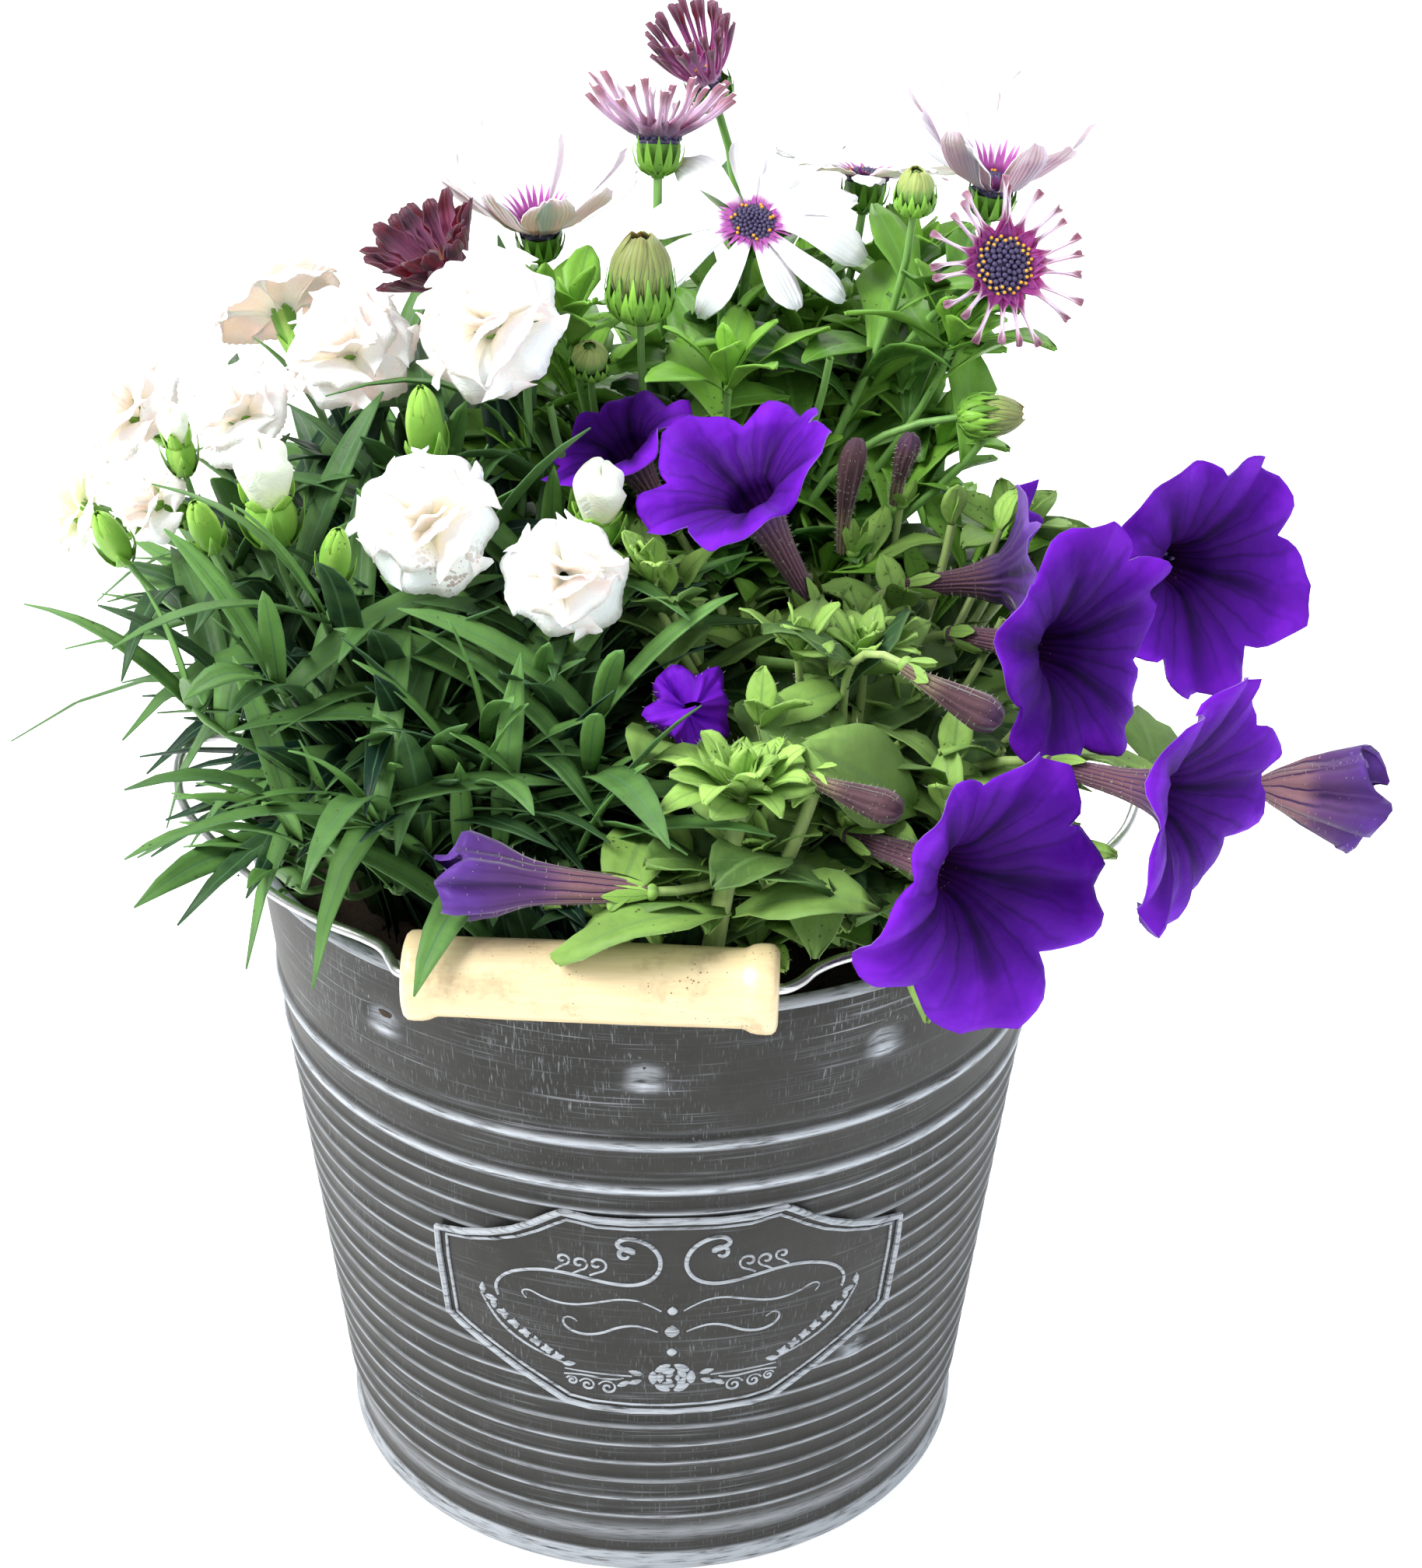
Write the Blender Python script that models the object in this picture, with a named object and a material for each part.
"""A zinc bucket planted with dianthus, osteospermum and petunias, carried by a wire bail with a wooden grip.

Metres, +Z up, front at -Y. The origin is on the bucket's axis, in the plane the bucket stands on.
"""

import math

import bmesh
import bpy
from mathutils import Matrix, Vector

for old in list(bpy.data.objects):
    bpy.data.objects.remove(old, do_unlink=True)

MM = 0.001
GAP = 0.3 * MM  # between pieces that touch

# Bucket: a tapered sheet shell with a rolled rim and a bead round the foot.
HEIGHT = 178.5 * MM
RIM_RADIUS = 102.0 * MM
ROLL = 1.6 * MM
TOP_RADIUS = 100.0 * MM
FOOT_RADIUS = 80.3 * MM
BEAD_RADIUS = 82.0 * MM
BEAD_HEIGHT = 5.5 * MM
SHEET = 0.8 * MM
RIDGES = (138.0 * MM, 125.0 * MM)
RIDGE_RISE = 1.1 * MM
RIDGE_HALF = 2.6 * MM
SIDES = 48
BASE_HEIGHT = 3.0 * MM
BASE_SHEET = 0.9 * MM
BASE_RADIUS = 79.2 * MM
BEND_HEIGHT = 8.5 * MM  # where the wall's inside leaves the straight foot
SOIL_TOP = 160.0 * MM
SOIL_FOOT_RADIUS = 78.6 * MM

# Ears and rivets. Half a facet's turn lays each ear flat against one facet of the wall.
HINGE_TURN = math.pi / SIDES
WALL_LEAN = math.atan((TOP_RADIUS - FOOT_RADIUS) * math.cos(HINGE_TURN) / HEIGHT)
HINGE_HEIGHT = 190.0 * MM
EAR_WIDTH = 13.0 * MM
EAR_SHEET = 1.2 * MM
EAR_FOOT = 162.3 * MM
RIVET_HEIGHT = 168.6 * MM
RIVET_SPREAD = 3.7 * MM
RIVET_SHANK = 1.5 * MM
RIVET_HEAD = 2.7 * MM
RIVET_HEAD_RISE = 1.1 * MM
DRILL = 8.0 * MM

# Bail and grip, in the bail's own plane: u along the hinge, v out to the grip.
WIRE = 1.2 * MM
EYE = 2.3 * MM  # radius of an ear's hole
BAIL_REACH = 105.0 * MM
GRIP_ENDS = (-47.5 * MM, 33.3 * MM)
GRIP_RADIUS = 8.9 * MM
GRIP_COLLAR = 9.8 * MM
GRIP_COLLAR_WIDTH = 7.0 * MM
GRIP_BORE = 1.8 * MM
BAIL_LEFT = (
    (-92.0, -6.5), (-92.4, -3.0), (-94.8, 0.0), (-99.0, 0.0), (-105.0, 0.0), (-112.0, 0.4), (-116.2, 3.4),
    (-117.0, 10.0), (-115.0, 23.0), (-110.0, 37.0), (-101.0, 51.0), (-84.0, 72.0), (-69.0, 84.5),
    (-57.0, 92.0), (-53.8, 95.0), (-51.0, 100.5), (-49.0, 104.0), (-46.5, 105.0), (-40.0, 105.0),
)
BAIL_RIGHT = (
    (-10.0, 105.0), (20.0, 105.0), (31.5, 105.0), (34.3, 104.6), (37.5, 102.0), (41.0, 96.6), (45.0, 92.8),
    (53.5, 87.8), (67.0, 80.5), (84.0, 68.5), (101.0, 49.5), (110.0, 36.0), (115.0, 23.0), (117.0, 10.0),
    (116.2, 3.4), (112.0, 0.4), (105.0, 0.0), (99.0, 0.0), (94.8, 0.0), (92.4, -3.0), (92.0, -6.5),
)

# Crowns: centre x and y, and radius, of the tuft that each plant grows from.
CROWNS = {
    "dianthus": (-45.0, -10.0, 22.0),
    "osteospermum": (8.0, 46.0, 14.0),
    "petunia": (42.0, -30.0, 15.0),
}
CROWN_RISE = 5.0 * MM
# The dianthus leaf that sweeps out over the rim on the left: base, bend and tip in mm.
LONG_LEAF = ((-52.0, -4.0, 163.0), (-98.0, 6.0, 236.0), (-164.0, 18.0, 183.0))
STEM_RADIUS = {"dianthus": 1.3 * MM, "osteospermum": 1.7 * MM, "petunia": 1.6 * MM}
# The ring over the rim that is left free for the bail: inner and outer radius, and height.
BAIL_RING = (88.0 * MM, 128.0 * MM, 204.0 * MM)
# Length and half width of a leaf, and how many grow straight from the crown.
LEAF = {
    "dianthus": (58.0 * MM, 3.0 * MM, 18),
    "osteospermum": (40.0 * MM, 7.0 * MM, 9),
    "petunia": (34.0 * MM, 8.5 * MM, 9),
}
STEM_LENGTHS = 4  # straight lengths that a stem is drawn in
LEAF_JOINTS = (1.6, 2.4, 3.2)  # where leaves leave a stem, counted in those lengths
NEXT_STEM, NEXT_JOINT = 2.4, 2.5  # radians that leaves turn by from stem to stem and from joint to joint

# Every flower and bud: name, shape, x, y and z of its middle in mm, the way it faces (degrees round from
# the front towards +X, degrees up), its radius in mm, and for some shapes a length or a lift in mm.
FLOWERS = (
    ("dianthus_bloom_back", "dianthus", -96, 60, 286, -150, 45, 17, 0),
    ("dianthus_bloom_crest_left", "dianthus", -76, 25, 286, -15, 45, 17, 0),
    ("dianthus_bloom_crest_right", "dianthus", -40, 0, 300, -20, 35, 19, 0),
    ("dianthus_bloom_far_left", "dianthus", -133, 45, 262, -60, 40, 14, 0),
    ("dianthus_bloom_left", "dianthus", -102, 20, 271, -25, 45, 14, 0),
    ("dianthus_bloom_pale", "dianthus", -139, 5, 251, -70, 25, 10, 0),
    ("dianthus_bloom_side", "dianthus", -120, -5, 258, -40, 35, 10, 0),
    ("dianthus_bloom_front_left", "dianthus", -52, -40, 267, -5, 35, 17, 0),
    ("dianthus_bloom_front_right", "dianthus", -21, -50, 259, 5, 30, 14, 0),
    ("dianthus_bloom_rear", "dianthus", -62, 92, 262, 165, 45, 17, 0),
    ("dianthus_bud_white", "bud", -89, -25, 267, -10, 75, 7, 14),
    ("dianthus_bud_opening", "bud", -14, -25, 265, 10, 70, 6.5, 11),
    ("dianthus_bud_crest", "bud", -54, -12, 279, -10, 75, 5, 10),
    ("dianthus_bud_yellow", "bud", -112, -5, 272, -15, 75, 4, 9),
    ("dianthus_bud_far_left", "bud", -125, -25, 256, -30, 60, 4, 8),
    ("dianthus_bud_left", "bud", -103, -30, 261, -15, 60, 4, 8),
    ("dianthus_bud_front", "bud", -71, -52, 263, 20, 65, 4, 8),
    ("osteospermum_top_dark", "daisy", 11, 97, 334, -40, 60, 12, 14),
    ("osteospermum_top_pink", "daisy", -1, 60, 328, -20, 78, 20, 9),
    ("osteospermum_white_open", "daisy", 22, 46, 311, 5, 55, 30, -1),
    ("osteospermum_quilled", "daisy", 79, 10, 312, 15, 25, 20, 3),
    ("osteospermum_purple_backed", "daisy", 82, 62, 317, 20, 75, 25, 7),
    ("osteospermum_pale_left", "daisy", -31, 72, 302, -10, 75, 28, 7),
    ("osteospermum_withered", "daisy", -51, 34, 300, -55, 55, 13, 14),
    ("osteospermum_white_rear", "daisy", 53, 98, 309, 150, 60, 26, 2),
    ("osteospermum_bud_striped", "bud", -5, 20, 305, 0, 85, 7.5, 11),
    ("osteospermum_bud_round", "bud", -17, 20, 285, 0, 60, 4.5, 5),
    ("osteospermum_bud_side", "bud", 79, 14, 274, 85, 5, 5, 8),
    ("osteospermum_bud_green", "bud", 59, 22, 326, 0, 75, 4.5, 6),
    ("petunia_front", "petunia", 61, -106, 215, 40, 8, 35, 36),
    ("petunia_right_mid", "petunia", 87, -43, 240, 44, 12, 29, 34),
    ("petunia_right_top", "petunia", 127, -2, 242, 28, 10, 31, 34),
    ("petunia_right_side", "petunia", 112, -88, 224, 60, 2, 31, 34),
    ("petunia_middle", "petunia", 20, -30, 271, -60, 60, 25, 42),
    ("petunia_middle_back", "petunia", -7, 6, 266, -30, 28, 20, 30),
    ("petunia_edge_on", "petunia", 82, -10, 242, 84, 8, 23, 24),
    ("petunia_rear", "petunia", 36, 112, 232, 172, 20, 29, 34),
    ("petunia_closed_left", "roll", -43, -101, 210, -88, 5, 6.5, 42),
    ("petunia_closed_right", "roll", 165, -47, 206, 76, -2, 9, 25),
    ("petunia_curled", "roll", 7, -66, 234, 25, 35, 7.5, 16),
    ("petunia_bud_tall", "roll", 47, 8, 266, 0, 85, 3.6, 24),
    ("petunia_bud_short", "roll", 60, 12, 268, 15, 75, 3.2, 16),
    ("petunia_bud_drooping", "roll", 72, -80, 239, 70, -25, 4, 22),
    ("petunia_bud_low", "roll", 50, -96, 225, 65, -12, 3.6, 20),
)
RAYS = 8  # petals of a daisy in these solids
RAY_CORNERS = (0.0, 0.2, 0.8)  # of a petal and the notch before it, as shares of the way to the next


def finish(name, colour, roughness, metallic=0.0):
    material = bpy.data.materials.new(name)
    material.use_nodes = True
    shader = material.node_tree.nodes["Principled BSDF"]
    shader.inputs["Base Color"].default_value = (*colour, 1.0)
    shader.inputs["Roughness"].default_value = roughness
    shader.inputs["Metallic"].default_value = metallic
    return material


ZINC = finish("weathered_zinc", (0.075, 0.075, 0.070), 0.55, 0.6)
GALVANISED = finish("galvanised_wire", (0.55, 0.57, 0.58), 0.3, 1.0)
WOOD = finish("lacquered_wood", (0.83, 0.68, 0.38), 0.4)
PEAT = finish("peat", (0.025, 0.017, 0.012), 0.95)
LEAVES = {
    "dianthus": finish("dianthus_leaf", (0.06, 0.19, 0.08), 0.5),
    "osteospermum": finish("osteospermum_leaf", (0.05, 0.21, 0.03), 0.5),
    "petunia": finish("petunia_leaf", (0.09, 0.22, 0.05), 0.6),
}
PETALS = {
    "dianthus": finish("dianthus_petal", (0.90, 0.80, 0.76), 0.6),
    "osteospermum": finish("osteospermum_petal", (0.80, 0.70, 0.80), 0.6),
    "petunia": finish("petunia_petal", (0.07, 0.02, 0.30), 0.5),
}


def add(name, mesh, material):
    """The mesh as a named object of the scene, in its own material and smooth between sharp edges."""
    mesh.materials.append(material)
    mesh.shade_smooth()
    mesh.set_sharp_from_angle(angle=math.radians(40))
    obj = bpy.data.objects.new(name, mesh)
    bpy.context.scene.collection.objects.link(obj)
    return obj


def from_bmesh(name, bm, material):
    mesh = bpy.data.meshes.new(name)
    bm.to_mesh(mesh)
    bm.free()
    return add(name, mesh, material)


def turned(name, profile, sides, material, ring=False):
    """A solid turned about Z from (radius, height) points that run down the outer side."""
    mesh = bpy.data.meshes.new(name)
    edges = [(i, i + 1) for i in range(len(profile) - 1)]
    if ring:
        edges.append((len(profile) - 1, 0))
    mesh.from_pydata([(radius, 0.0, height) for radius, height in profile], edges, [])
    obj = add(name, mesh, material)
    screw = obj.modifiers.new("turn", "SCREW")
    screw.steps = sides
    screw.render_steps = sides
    screw.use_merge_vertices = True
    screw.merge_threshold = 1e-5
    return obj


def cut(obj, cutter):
    cutter.hide_render = True
    cutter.display_type = "WIRE"
    boolean = obj.modifiers.new("cut_" + cutter.name, "BOOLEAN")
    boolean.operation = "DIFFERENCE"
    boolean.object = cutter


def cylinder(name, radius, depth, place, sides=16):
    """A drill for a round hole. The matrix gives its middle and its direction."""
    bm = bmesh.new()
    bmesh.ops.create_cone(
        bm, cap_ends=True, segments=sides, radius1=radius, radius2=radius, depth=depth, matrix=place
    )
    return from_bmesh(name, bm, ZINC)


# ---- Bucket ----


def wall_radius(height):
    """Outside radius of the plain sheet at a height."""
    return FOOT_RADIUS + (TOP_RADIUS - FOOT_RADIUS) * height / HEIGHT


def ridge_points(middle):
    """A rounded ridge pressed outwards, as profile points from top to bottom."""
    steps = ((RIDGE_HALF, 0.0), (0.45 * RIDGE_HALF, 1.0), (-0.45 * RIDGE_HALF, 1.0), (-RIDGE_HALF, 0.0))
    return [(wall_radius(middle + dz) + rise * RIDGE_RISE, middle + dz) for dz, rise in steps]


def make_bucket():
    roll_centre = (RIM_RADIUS - ROLL, HEIGHT - ROLL)
    roll = [
        (roll_centre[0] + ROLL * math.cos(math.radians(a)), roll_centre[1] + ROLL * math.sin(math.radians(a)))
        for a in (90, 30, -30, -90)
    ]
    under_roll = HEIGHT - 2 * ROLL - 0.8 * MM
    profile = [(TOP_RADIUS - SHEET, HEIGHT - 0.4 * MM)] + roll + [(wall_radius(under_roll), under_roll)]
    for middle in RIDGES:
        profile += ridge_points(middle)
    profile += [
        (wall_radius(BEAD_HEIGHT + MM), BEAD_HEIGHT + MM),
        (BEAD_RADIUS, 0.7 * BEAD_HEIGHT),
        (BEAD_RADIUS, 0.2 * BEAD_HEIGHT),
        (BEAD_RADIUS - 0.8 * MM, 0.0),
        (BASE_RADIUS + GAP, 0.0),
        (BASE_RADIUS + GAP, BEAD_HEIGHT),
        (wall_radius(BEND_HEIGHT) - SHEET, BEND_HEIGHT),
    ]
    wall = turned("bucket_wall", profile, SIDES, ZINC, ring=True)

    underside = [
        (0.0, BASE_HEIGHT + BASE_SHEET),
        (BASE_RADIUS, BASE_HEIGHT + BASE_SHEET),
        (BASE_RADIUS, BASE_HEIGHT),
        (0.0, BASE_HEIGHT),
    ]
    turned("bucket_base", underside, SIDES, ZINC)

    soil_foot = BASE_HEIGHT + BASE_SHEET + GAP
    soil = [
        (0.0, SOIL_TOP),
        (wall_radius(SOIL_TOP) - SHEET - GAP, SOIL_TOP),
        (wall_radius(BEND_HEIGHT) - SHEET - GAP, BEND_HEIGHT),
        (SOIL_FOOT_RADIUS, BEAD_HEIGHT),
        (SOIL_FOOT_RADIUS, soil_foot),
        (0.0, soil_foot),
    ]
    turned("potting_soil", soil, SIDES, PEAT)
    return wall


def ear_frame(turn):
    """Frame on the wall's outer face where the rivets go: X along the wall, Y up it, Z straight out."""
    facet = wall_radius(RIVET_HEIGHT) * math.cos(HINGE_TURN)
    out = Matrix.Rotation(turn, 4, "Z") @ Matrix.Translation((facet, 0.0, RIVET_HEIGHT))
    upright = Matrix(((0, 0, 1, 0), (1, 0, 0, 0), (0, 1, 0, 0), (0, 0, 0, 1)))
    return out @ Matrix.Rotation(WALL_LEAN, 4, "Y") @ upright


def make_ear(side, turn, wall):
    """A punched tab inside the wall, its eye above the rim, and the two rivets that hold it."""
    place = ear_frame(turn)
    eye = (HINGE_HEIGHT - RIVET_HEIGHT) / math.cos(WALL_LEAN)
    foot = (EAR_FOOT - RIVET_HEIGHT) / math.cos(WALL_LEAN)
    half = EAR_WIDTH / 2
    back = -SHEET - GAP - EAR_SHEET
    outline = [(-half, foot), (half, foot)]
    outline += [
        (half * math.cos(math.radians(a)), eye + half * math.sin(math.radians(a))) for a in range(0, 181, 20)
    ]
    bm = bmesh.new()
    face = bm.faces.new([bm.verts.new((x, y, back)) for x, y in outline])
    grown = bmesh.ops.extrude_face_region(bm, geom=[face])["geom"]
    raised = [v for v in grown if isinstance(v, bmesh.types.BMVert)]
    bmesh.ops.translate(bm, verts=raised, vec=(0.0, 0.0, EAR_SHEET))
    bmesh.ops.recalc_face_normals(bm, faces=bm.faces)
    ear = from_bmesh("ear_" + side, bm, ZINC)
    ear.matrix_world = place
    cut(ear, cylinder("eye_" + side, EYE, DRILL, place @ Matrix.Translation((0, eye, back + EAR_SHEET / 2))))

    inner = back - GAP
    profile = [
        (0.0, GAP + RIVET_HEAD_RISE),
        (0.6 * RIVET_HEAD, GAP + RIVET_HEAD_RISE),
        (RIVET_HEAD, GAP),
        (RIVET_SHANK, GAP),
        (RIVET_SHANK, inner),
        (RIVET_HEAD, inner),
        (0.0, inner - 0.8 * RIVET_HEAD_RISE),
    ]
    for end, offset in (("a", -RIVET_SPREAD), ("b", RIVET_SPREAD)):
        spot = place @ Matrix.Translation((offset, 0, 0))
        rivet = turned(f"rivet_{side}_{end}", profile, 8, GALVANISED)
        rivet.matrix_world = spot
        hole = cylinder(f"rivet_hole_{side}_{end}", RIVET_SHANK + GAP, DRILL, spot, 8)
        cut(wall, hole)
        cut(ear, hole)


# ---- Bail and grip ----


def rest_drop():
    """How far below the hinge's level the grip's centre line is when the grip rests on the rim."""
    across = BAIL_REACH - (RIM_RADIUS - ROLL)
    touch = GRIP_RADIUS + ROLL + GAP
    return HINGE_HEIGHT - (HEIGHT - ROLL + math.sqrt(touch**2 - across**2))


def bail_frame():
    """Frame of the resting bail: X along the hinge, Y out to the grip, origin on the hinge's middle."""
    along = Vector((math.cos(HINGE_TURN), -math.sin(HINGE_TURN), 0.0))
    out = Vector((-math.sin(HINGE_TURN), -math.cos(HINGE_TURN), -rest_drop() / BAIL_REACH)).normalized()
    up = along.cross(out)
    frame = Matrix((along, out, up)).transposed().to_4x4()
    return Matrix.Translation((0.0, 0.0, HINGE_HEIGHT)) @ frame


def make_bail():
    frame = bail_frame()
    route = [(u * MM, v * MM, 0.0) for u, v in BAIL_LEFT + BAIL_RIGHT]
    curve = bpy.data.curves.new("bail_wire", "CURVE")
    curve.dimensions = "3D"
    curve.bevel_depth = WIRE
    curve.bevel_resolution = 2
    curve.use_fill_caps = True
    spline = curve.splines.new("POLY")
    spline.points.add(len(route) - 1)
    for point, place in zip(spline.points, route):
        point.co = (*place, 1.0)
    curve.materials.append(GALVANISED)
    wire = bpy.data.objects.new("bail_wire", curve)
    bpy.context.scene.collection.objects.link(wire)
    wire.matrix_world = frame

    low, high = GRIP_ENDS
    length = high - low
    waist = GRIP_RADIUS - 0.2 * MM
    half_profile = [
        (GRIP_BORE, length / 2),
        (GRIP_COLLAR - 1.2 * MM, length / 2),
        (GRIP_COLLAR, length / 2 - 1.6 * MM),
        (GRIP_COLLAR, length / 2 - GRIP_COLLAR_WIDTH + 2 * MM),
        (waist, length / 2 - GRIP_COLLAR_WIDTH),
    ]
    mirrored = [(radius, -height) for radius, height in reversed(half_profile)]
    grip = turned("wooden_grip", half_profile + [(GRIP_RADIUS, 0.0)] + mirrored, 24, WOOD, ring=True)
    middle = Matrix.Translation(((low + high) / 2, BAIL_REACH, 0.0))
    grip.matrix_world = frame @ middle @ Matrix.Rotation(math.pi / 2, 4, "Y")


# ---- Flowers and buds, each about its own middle and facing up Z ----


def spun(profile, sides, lobes=0, notch=0.0):
    """A closed shape turned from (radius, height) points, its outer part drawn in between lobes."""
    reach = max(radius for radius, _ in profile)
    bm = bmesh.new()
    line = [bm.verts.new((radius, 0.0, height)) for radius, height in profile]
    edges = [bm.edges.new(pair) for pair in zip(line, line[1:])]
    bmesh.ops.spin(
        bm, geom=line + edges, cent=(0, 0, 0), axis=(0, 0, 1), angle=2 * math.pi, steps=sides, use_merge=True
    )
    bmesh.ops.remove_doubles(bm, verts=bm.verts, dist=1e-6)
    for vert in bm.verts:
        radius = math.hypot(vert.co.x, vert.co.y)
        between = (1 - math.cos(lobes * math.atan2(vert.co.y, vert.co.x))) / 2
        pull = 1 - notch * between * (radius / reach) ** 2
        vert.co.x *= pull
        vert.co.y *= pull
    bmesh.ops.recalc_face_normals(bm, faces=bm.faces)
    return bm


def petunia_shape(radius, length):
    """A funnel that opens into a five-lobed disc."""
    return spun(
        [
            (0, -length), (1.5, -length), (2.3, -0.8 * length), (2.8, -0.6 * length), (4.6, -0.22 * length),
            (7.5, 0.5), (0.55 * radius, 4.6), (radius, 7.6), (0.98 * radius, 8.8), (0.52 * radius, 6.2),
            (5.0, 1.0), (2.0, -10.0), (0, -10.5),
        ],
        10, lobes=5, notch=0.13,
    )


def dianthus_shape(radius, _):
    """A ruffled double head on a green tube."""
    return spun(
        [
            (0, -16.5), (1.6, -16.5), (2.7, -12), (2.8, -3.5), (0.45 * radius, -1.5), (radius, 2.2),
            (0.93 * radius, 4.4), (0.5 * radius, 7.6), (0, 8.4),
        ],
        12, lobes=6, notch=0.1,
    )


def daisy_shape(radius, lift):
    """Ray petals round a disc, on a green cup. The petals' tips stand the lift above the disc's edge."""
    petal = [(0.36 * radius, 0.36 * lift), (radius, lift), (radius, lift)]
    courses = [
        [(1.6, -9.5)] * 3,
        [(5.6, -2.4)] * 3,
        [(reach, rise - 0.4) for reach, rise in petal],
        [(reach, rise + 0.8) for reach, rise in petal],
        [(min(5.0, 0.3 * radius), 1.4)] * 3,
    ]
    bm = bmesh.new()
    loops = []
    for course in courses:
        loop = []
        for ray in range(RAYS):
            for share, (reach, height) in zip(RAY_CORNERS, course):
                angle = 2 * math.pi * (ray + share) / RAYS
                loop.append(bm.verts.new((reach * math.cos(angle), reach * math.sin(angle), height)))
        loops.append(loop)
    for lower, upper in zip(loops, loops[1:]):
        for i in range(len(lower)):
            j = (i + 1) % len(lower)
            bm.faces.new((lower[i], lower[j], upper[j], upper[i]))
    bm.faces.new(list(reversed(loops[0])))
    bm.faces.new(loops[-1])
    bmesh.ops.recalc_face_normals(bm, faces=bm.faces)
    return bm


def bud_shape(radius, half):
    """A closed bud."""
    return spun(
        [
            (0, -half), (1.3, -half), (0.8 * radius, -0.6 * half), (radius, -0.1 * half),
            (0.72 * radius, 0.55 * half), (0.25 * radius, half), (0, half),
        ],
        8,
    )


def roll_shape(radius, length):
    """A rolled or folded petunia flower. Its middle is its open end."""
    return spun(
        [
            (0, -length), (1.3, -length), (0.35 * radius, -0.8 * length), (0.55 * radius, -0.35 * length),
            (0.8 * radius, -0.12 * length), (radius, 0), (0, 0.8),
        ],
        8,
    )


SHAPES = {
    "petunia": petunia_shape,
    "dianthus": dianthus_shape,
    "daisy": daisy_shape,
    "bud": bud_shape,
    "roll": roll_shape,
}
SEAT_DEPTH = {
    "petunia": lambda size: size,
    "dianthus": lambda size: 16.5,
    "daisy": lambda size: 9.5,
    "bud": lambda size: size,
    "roll": lambda size: size,
}


def facing(round_degrees, up_degrees):
    turn, rise = math.radians(round_degrees), math.radians(up_degrees)
    return Vector((math.sin(turn) * math.cos(rise), -math.cos(turn) * math.cos(rise), math.sin(rise)))


def make_flowers():
    """All flowers and buds. Returns where each one is, in metres."""
    made = []
    for name, shape, x, y, z, turn, rise, radius, size in FLOWERS:
        plant = name.split("_")[0]
        middle = Vector((x, y, z)) * MM
        out = facing(turn, rise)
        bm = SHAPES[shape](radius, size)
        bmesh.ops.scale(bm, vec=(MM, MM, MM), verts=bm.verts)
        flower = from_bmesh(name, bm, LEAVES[plant] if shape == "bud" else PETALS[plant])
        flower.matrix_world = Matrix.Translation(middle) @ out.to_track_quat("Z", "Y").to_matrix().to_4x4()
        seat = middle - out * SEAT_DEPTH[shape](size) * MM
        made.append({"plant": plant, "middle": middle, "out": out, "reach": radius * MM, "seat": seat})
    return made


# ---- Stems and leaves ----


def bezier(a, b, c, d, steps):
    return [
        a * (1 - t) ** 3 + b * 3 * t * (1 - t) ** 2 + c * 3 * t * t * (1 - t) + d * t**3
        for t in (step / steps for step in range(steps + 1))
    ]


def stem_run(flower, steps):
    """A stem's course from its plant's crown to just under the flower's seat."""
    x, y, spread = CROWNS[flower["plant"]]
    crown = Vector((x * MM, y * MM, SOIL_TOP + 0.6 * CROWN_RISE))
    end = flower["seat"] - flower["out"] * GAP
    away = Vector((end.x - crown.x, end.y - crown.y, 0.0))
    root = crown + away.normalized() * min(0.35 * away.length, 0.62 * spread * MM)
    length = (end - root).length
    return bezier(root, root + Vector((0, 0, 0.5 * length)), end - flower["out"] * 0.3 * length, end, steps)


def tube(bm, run, radius, last_way, sides=4):
    """A closed tube along a run of points, its last face square to the given way."""
    rings = []
    side = None
    for i, point in enumerate(run):
        ahead = last_way if i == len(run) - 1 else (run[i + 1] - run[max(i - 1, 0)]).normalized()
        side = ahead.orthogonal() if side is None else side
        side = (side - ahead * side.dot(ahead)).normalized()
        other = ahead.cross(side)
        ring = []
        for k in range(sides):
            angle = 2 * math.pi * k / sides
            ring.append(bm.verts.new(point + radius * (math.cos(angle) * side + math.sin(angle) * other)))
        rings.append(ring)
    for low, high in zip(rings, rings[1:]):
        for k in range(sides):
            n = (k + 1) % sides
            bm.faces.new((low[k], low[n], high[n], high[k]))
    bm.faces.new(list(reversed(rings[0])))
    bm.faces.new(rings[-1])


def blade(bm, base, bend, tip, half_width, thickness):
    """A thin closed leaf from base to tip, broadest past its middle."""
    ahead = (tip - base).normalized()
    side = ahead.cross(Vector((0, 0, 1))).normalized()
    normal = side.cross(ahead)
    rows = []
    for t, width in ((0.0, 0.25), (0.3, 0.8), (0.65, 1.0)):
        point = base * (1 - t) ** 2 + bend * 2 * t * (1 - t) + tip * t * t
        across, up = side * half_width * width, normal * thickness
        rows.append([bm.verts.new(point + offset) for offset in (across, up, -across, -up)])
    end = bm.verts.new(tip)
    for k in range(4):
        n = (k + 1) % 4
        for low, high in zip(rows, rows[1:]):
            bm.faces.new((low[k], low[n], high[n], high[k]))
        bm.faces.new((rows[-1][k], rows[-1][n], end))
    bm.faces.new(list(reversed(rows[0])))


def is_free(points, margin, flowers, foreign):
    """Whether a leaf's points keep off the flowers, the other plants, the soil and where the bail lies."""
    inner, outer, height = BAIL_RING
    for point in points:
        across = math.hypot(point.x, point.y)
        if inner < across < outer and point.z < height:
            return False
        if point.z < SOIL_TOP + margin:
            return False
        if any((point - flower["middle"]).length < flower["reach"] + margin for flower in flowers):
            return False
        if any((point - other).length < margin for other in foreign):
            return False
    return True


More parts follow.
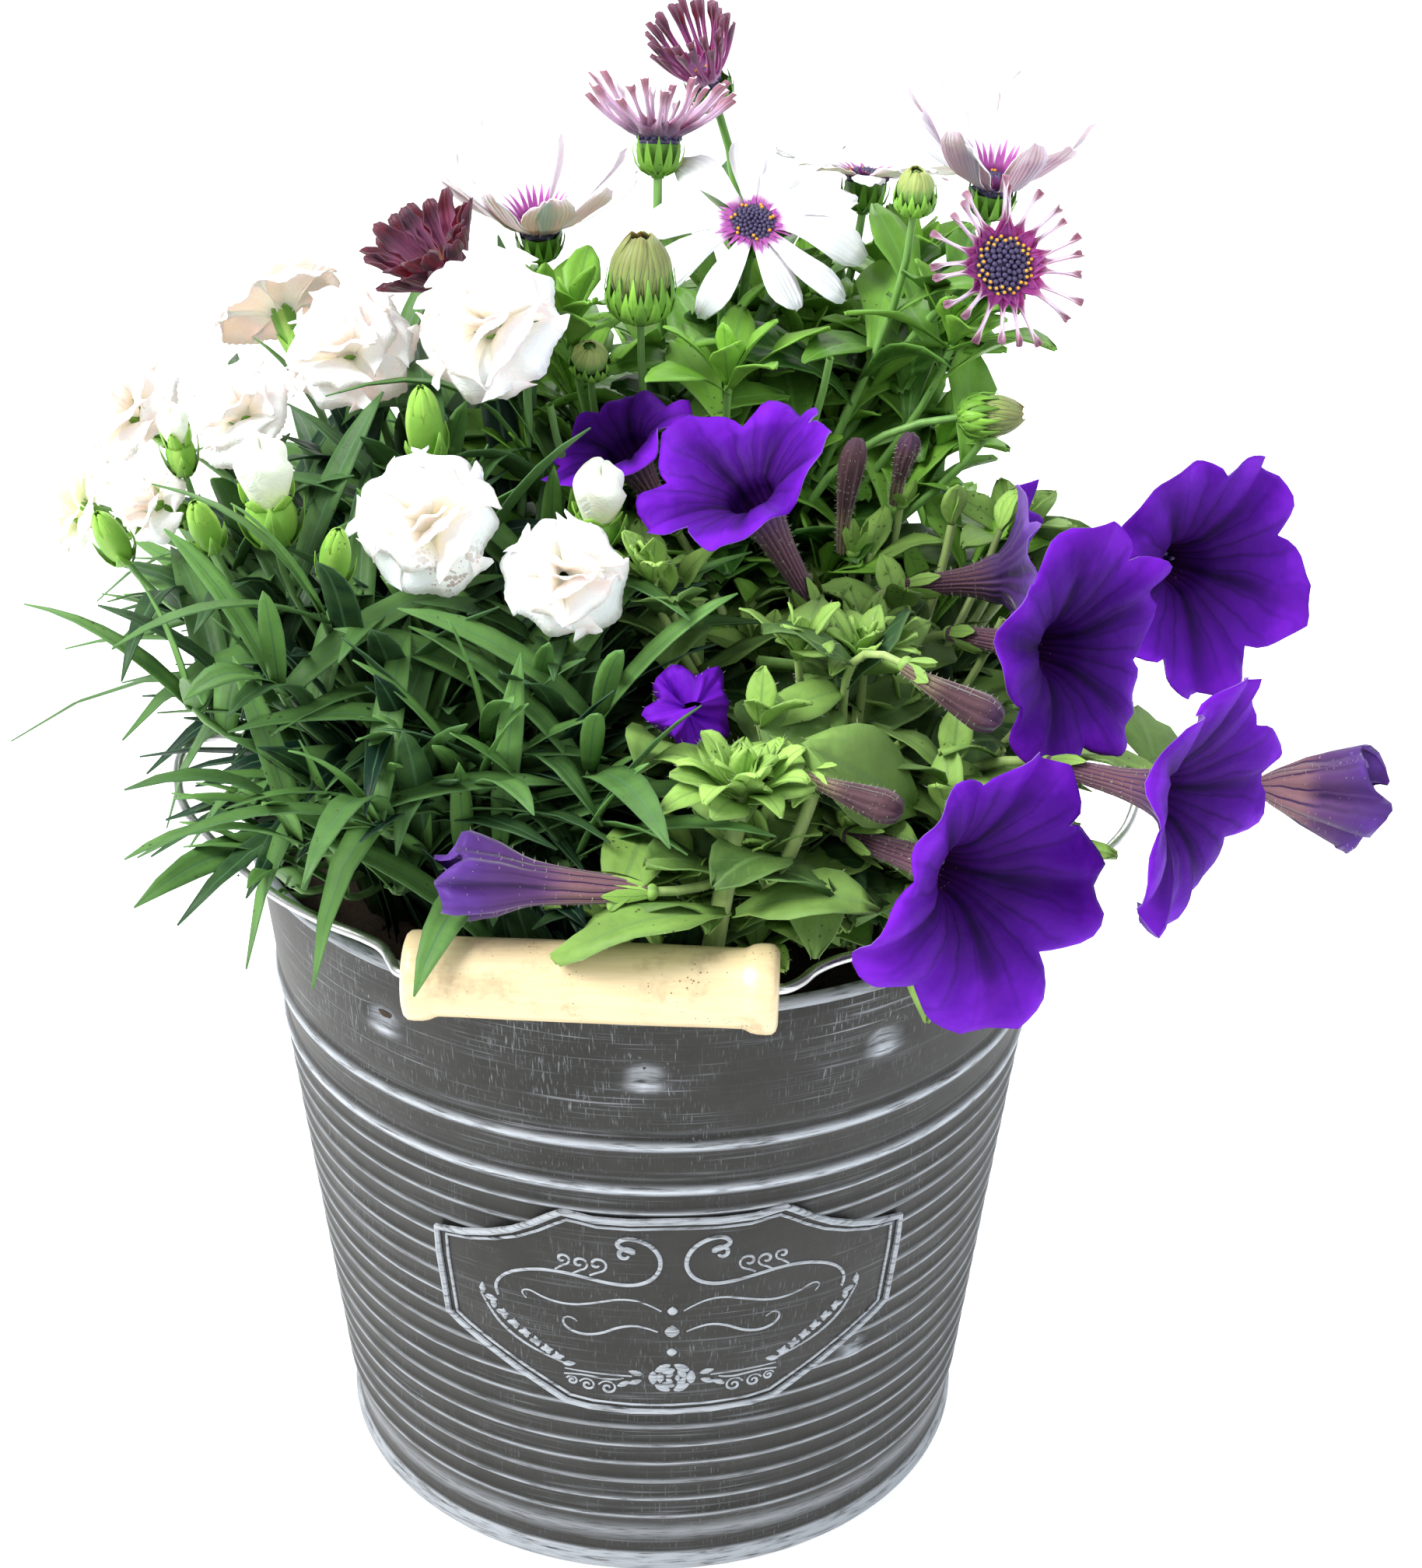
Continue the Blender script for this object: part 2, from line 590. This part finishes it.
def leaf_starts(plant, stems):
    """Where each leaf of a plant starts, and the way it leans out."""
    starts = []
    for number, run in enumerate(stems):
        for joint, place in enumerate(LEAF_JOINTS):
            low = int(place)
            turn = NEXT_STEM * number + NEXT_JOINT * joint
            starts.append((run[low].lerp(run[low + 1], place - low), (math.cos(turn), math.sin(turn), 0.55)))
    x, y, spread = CROWNS[plant]
    count = LEAF[plant][2]
    for number in range(count):
        turn, out = NEXT_STEM * number, math.sqrt((number + 0.5) / count)
        away = Vector((math.cos(turn), math.sin(turn), 0.0))
        crown = Vector((x, y, 0.0)) * MM + Vector((0.0, 0.0, SOIL_TOP + 0.5 * CROWN_RISE))
        starts.append((crown + away * 0.7 * out * spread * MM, (away.x * out, away.y * out, 1.5 - out)))
    return starts


def leaf_courses(plant, flowers, stems, foreign):
    """Base, bend and tip of each leaf of a plant that has room to grow."""
    length, half_width, _ = LEAF[plant]
    necks = [flower["seat"].lerp(flower["middle"], share) for flower in flowers for share in (0, 0.3, 0.6)]
    courses = []
    for base, lean in leaf_starts(plant, stems):
        bend = base + Vector(lean) * 0.5 * length
        tip = base + Vector((lean[0], lean[1], 0.65 * lean[2])).normalized() * length
        points = [base.lerp(bend, t).lerp(bend.lerp(tip, t), t) for t in (0.3, 0.45, 0.6, 0.8, 1.0)]
        if is_free(points, half_width + 4 * MM, flowers, foreign + necks):
            courses.append((base, bend, tip))
    if plant == "dianthus":
        courses.append([Vector(point) * MM for point in LONG_LEAF])
    return courses


def keep_largest_shell(obj):
    """Applies the modifiers and drops every shell but the largest: the voids and slivers of a dense union."""
    bm = bmesh.new()
    bm.from_object(obj, bpy.context.evaluated_depsgraph_get())
    loose = set(bm.verts)
    shells = []
    while loose:
        reached = [loose.pop()]
        for vert in reached:
            ends = {edge.other_vert(vert) for edge in vert.link_edges} & loose
            loose -= ends
            reached += ends
        shells.append(reached)
    largest = max(shells, key=len)
    bmesh.ops.delete(bm, geom=[v for shell in shells if shell is not largest for v in shell], context="VERTS")
    obj.modifiers.clear()
    bm.to_mesh(obj.data)
    bm.free()


def make_plant(plant, flowers, stems, courses):
    """Crown, stems and leaves, grown together as one solid."""
    bm = bmesh.new()
    for run, flower in zip(stems, (f for f in flowers if f["plant"] == plant)):
        tube(bm, run, STEM_RADIUS[plant], flower["out"])
    for course in courses:
        blade(bm, *course, LEAF[plant][1], 0.6 * MM)
    bmesh.ops.recalc_face_normals(bm, faces=bm.faces)
    grown = from_bmesh(plant + "_plant", bm, LEAVES[plant])

    x, y, spread = CROWNS[plant]
    top = SOIL_TOP + GAP
    edge = spread * MM
    dome = [(0.0, top + CROWN_RISE), (0.6 * edge, top + 0.8 * CROWN_RISE), (edge, top), (0.0, top)]
    crown = turned(plant + "_crown", dome, 12, LEAVES[plant])
    crown.location = (x * MM, y * MM, 0.0)
    crown.hide_render = True
    crown.display_type = "WIRE"
    union = grown.modifiers.new("grown_together", "BOOLEAN")
    union.operation = "UNION"
    union.object = crown
    union.use_self = True
    keep_largest_shell(grown)


def make_plants(flowers):
    stems = {plant: [stem_run(f, STEM_LENGTHS) for f in flowers if f["plant"] == plant] for plant in CROWNS}
    grown = {plant: [] for plant in CROWNS}
    for flower in flowers:
        grown[flower["plant"]] += stem_run(flower, 4 * STEM_LENGTHS)
    for plant in CROWNS:
        foreign = [point for other in CROWNS if other != plant for point in grown[other]]
        courses = leaf_courses(plant, flowers, stems[plant], foreign)
        for base, bend, tip in courses:
            grown[plant] += [(base + bend) / 2, (bend + tip) / 2, tip]
        make_plant(plant, flowers, stems[plant], courses)


bucket = make_bucket()
make_ear("right", -HINGE_TURN, bucket)
make_ear("left", math.pi - HINGE_TURN, bucket)
make_bail()
make_plants(make_flowers())
